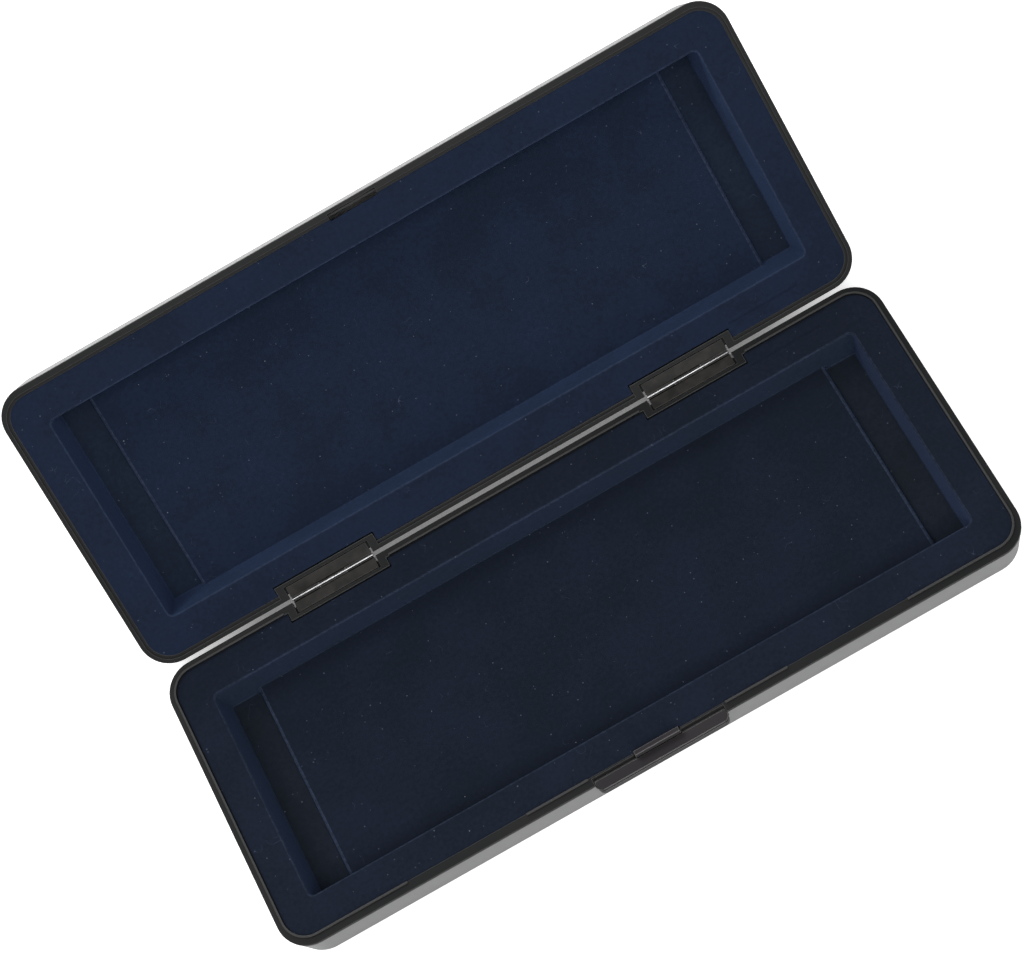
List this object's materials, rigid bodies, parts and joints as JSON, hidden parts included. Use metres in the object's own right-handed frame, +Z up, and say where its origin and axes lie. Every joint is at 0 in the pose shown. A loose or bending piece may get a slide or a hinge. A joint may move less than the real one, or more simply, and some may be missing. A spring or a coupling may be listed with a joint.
{
  "type": "hinged harmonica case",
  "caption": "Slim two-half clamshell case with a black rim, flocked linings with one long hollow each, hinges at the back and a sprung push latch at the front.",
  "frame": {"origin": "middle of the base's flat underside, on the table", "axes": "+X along the hinge line to the picture's right, +Y from the latch to the hinges and the open lid, +Z up"},
  "size_m": [0.22, 0.1709, 0.0642],
  "materials": {
    "shell": "satin",
    "rim": "satin",
    "flock": "flocked",
    "leaf": "semi-gloss",
    "pin_steel": "bright",
    "button": "satin",
    "spring_steel": "bright"
  },
  "bodies": {
    "base": {"base_shell": "shell", "base_frame": "rim", "base_lining": "flock", "hinge_left_base_leaf": "leaf", "hinge_left_pin": "pin_steel", "hinge_right_base_leaf": "leaf", "hinge_right_pin": "pin_steel", "latch_spring": "spring_steel"},
    "lid": {"lid_shell": "shell", "lid_frame": "rim", "lid_lining": "flock", "hinge_left_lid_leaf": "leaf", "hinge_right_lid_leaf": "leaf"},
    "button": {"latch_button": "button"}
  },
  "joints": [
    {"name": "lid_hinge", "type": "hinge", "parent": "base", "child": "lid", "pos_m": [0, 0.0435, 0.01615], "axis": [1, 0, 0], "range_deg": [0, 146.2]},
    {"name": "button_slide", "type": "slide", "parent": "base", "child": "button", "axis": [0, 1, 0], "range_m": [0, 0.0006], "stiffness_N_per_m": 1500, "springref_m": -0.001, "deforming": ["latch_spring"]}
  ]
}
